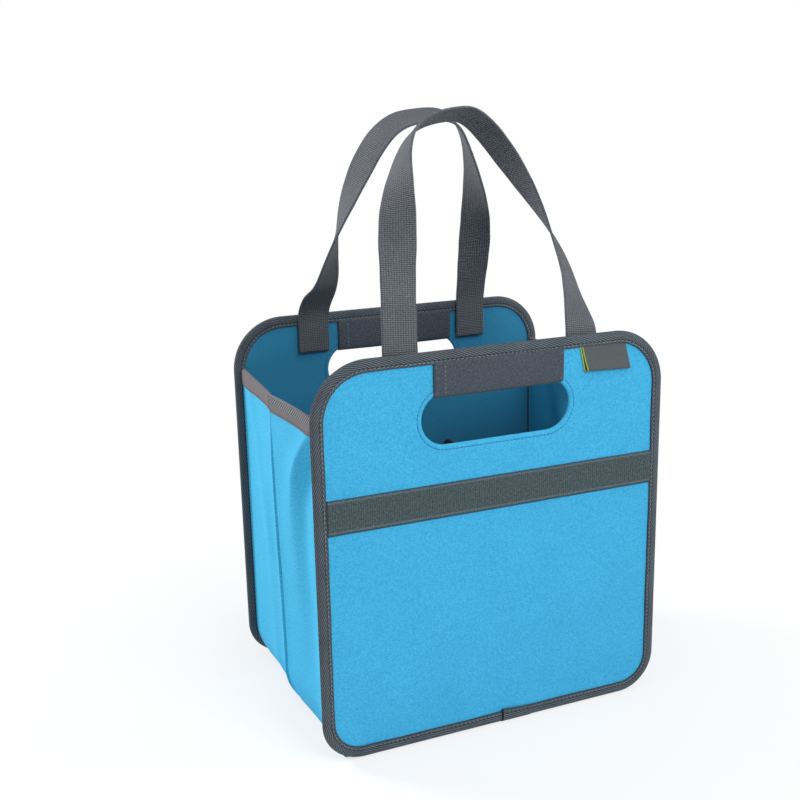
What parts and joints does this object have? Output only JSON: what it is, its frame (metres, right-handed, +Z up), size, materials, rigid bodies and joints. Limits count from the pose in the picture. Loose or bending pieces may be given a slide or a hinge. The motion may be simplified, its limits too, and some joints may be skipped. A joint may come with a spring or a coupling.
{
  "type": "bottle carrier bag",
  "caption": "Foldable fabric bottle carrier: two stiff bound panels with hand holes, creased side walls, slotted dividers and twisted webbing handles.",
  "frame": {"origin": "on the floor under the middle of the bag's overall outline", "axes": "+X to the right across the front panel, +Y from the front panel to the back panel, +Z up"},
  "size_m": [0.265, 0.184, 0.4315],
  "materials": {
    "panel_fabric": "plain weave, matte",
    "gusset_fabric": "plain weave, matte",
    "binding_ribbon": "twill ribbon, matte",
    "hem_ribbon": "twill ribbon, matte",
    "webbing": "ribbed webbing, matte",
    "elastic": "finely ribbed elastic, matte",
    "label_weave": "woven label, satin",
    "lining": "board covered in plain fabric, matte"
  },
  "bodies": {
    "root": {"front_panel": "panel_fabric", "back_panel": "panel_fabric", "front_binding": "binding_ribbon", "back_binding": "binding_ribbon", "front_grip_sleeve": "binding_ribbon", "back_grip_sleeve": "binding_ribbon", "front_elastic_band": "elastic", "edge_label": "label_weave", "left_gusset": "gusset_fabric", "right_gusset": "gusset_fabric", "left_gusset_hem": "hem_ribbon", "right_gusset_hem": "hem_ribbon", "front_handle": "webbing", "back_handle": "webbing", "base_board": "lining", "long_divider": "lining", "cross_divider_left": "lining", "cross_divider_right": "lining"}
  },
  "joints": []
}
